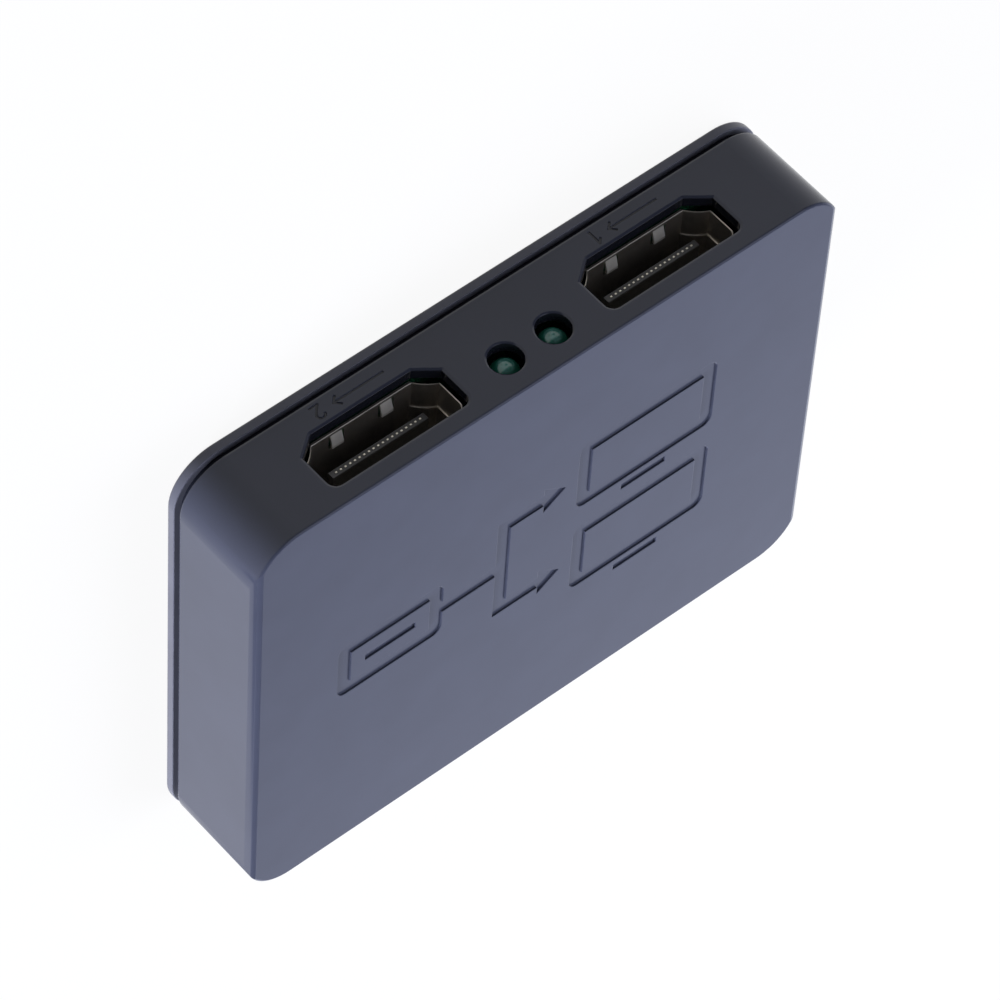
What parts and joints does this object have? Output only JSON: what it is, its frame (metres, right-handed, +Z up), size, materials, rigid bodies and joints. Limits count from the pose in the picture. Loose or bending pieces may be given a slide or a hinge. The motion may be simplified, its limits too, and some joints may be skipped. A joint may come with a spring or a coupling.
{
  "type": "video splitter",
  "caption": "Flat rectangular plastic box that copies a video signal from an input socket to output sockets, with green lamps between the outputs, a clipped cover and a small power inlet.",
  "frame": {"origin": "middle of the flat underside that the box lies on", "axes": "+X along the row of output sockets, +Y out of the output sockets, +Z up out of the big face"},
  "size_m": [0.064, 0.0498, 0.0117],
  "materials": {
    "case_plastic": "satin black moulded plastic",
    "cover_plastic": "fine matt moulded plastic",
    "board_laminate": "green solder mask",
    "screw_steel": "zinc plated",
    "socket_steel": "tin plated sheet",
    "socket_plastic": "moulded black",
    "contact_metal": "plated",
    "spring_steel": "tin plated sheet",
    "lamp_epoxy": "clear coloured epoxy",
    "lead_metal": "tinned",
    "chip_plastic": "moulded black",
    "ferrite": "matt",
    "crystal_can": "plated",
    "capacitor_can": "satin",
    "ceramic": "fired ceramic"
  },
  "bodies": {
    "case": {"top_shell": "case_plastic", "bottom_cover": "cover_plastic", "circuit_board": "board_laminate", "board_screws": "screw_steel", "output_1_shell": "socket_steel", "output_1_insulator": "socket_plastic", "output_1_contacts": "contact_metal", "output_2_shell": "socket_steel", "output_2_insulator": "socket_plastic", "output_2_contacts": "contact_metal", "input_shell": "socket_steel", "input_insulator": "socket_plastic", "input_contacts": "contact_metal", "power_shell": "socket_steel", "power_insulator": "socket_plastic", "power_contacts": "contact_metal", "lamp_1_lens": "lamp_epoxy", "lamp_1_leads": "lead_metal", "lamp_2_lens": "lamp_epoxy", "lamp_2_leads": "lead_metal", "splitter_chip": "chip_plastic", "splitter_chip_leads": "lead_metal", "memory_chip": "chip_plastic", "memory_chip_leads": "lead_metal", "voltage_regulator": "chip_plastic", "voltage_regulator_leads": "lead_metal", "power_inductor": "ferrite", "crystal": "crystal_can", "bulk_capacitors": "capacitor_can", "bulk_capacitor_bases": "chip_plastic", "ceramic_capacitors": "ceramic", "chip_resistors": "chip_plastic", "surge_arrays": "chip_plastic", "surge_array_leads": "lead_metal"},
    "output_1_spring_pair": {"output_1_springs": "spring_steel"},
    "output_2_spring_pair": {"output_2_springs": "spring_steel"},
    "input_spring_pair": {"input_springs": "spring_steel"}
  },
  "joints": [
    {"name": "output_1_spring_flex", "type": "hinge", "parent": "case", "child": "output_1_spring_pair", "pos_m": [0.015, 0.02285, 0.0043], "axis": [1, 0, 0], "range_deg": [0, 12.5], "stiffness_Nm_per_rad": 0.02},
    {"name": "output_2_spring_flex", "type": "hinge", "parent": "case", "child": "output_2_spring_pair", "pos_m": [-0.015, 0.02285, 0.0043], "axis": [1, 0, 0], "range_deg": [0, 12.5], "stiffness_Nm_per_rad": 0.02},
    {"name": "input_spring_flex", "type": "hinge", "parent": "case", "child": "input_spring_pair", "pos_m": [-0.012, -0.02285, 0.0043], "axis": [-1, 0, 0], "range_deg": [0, 12.5], "stiffness_Nm_per_rad": 0.02}
  ]
}
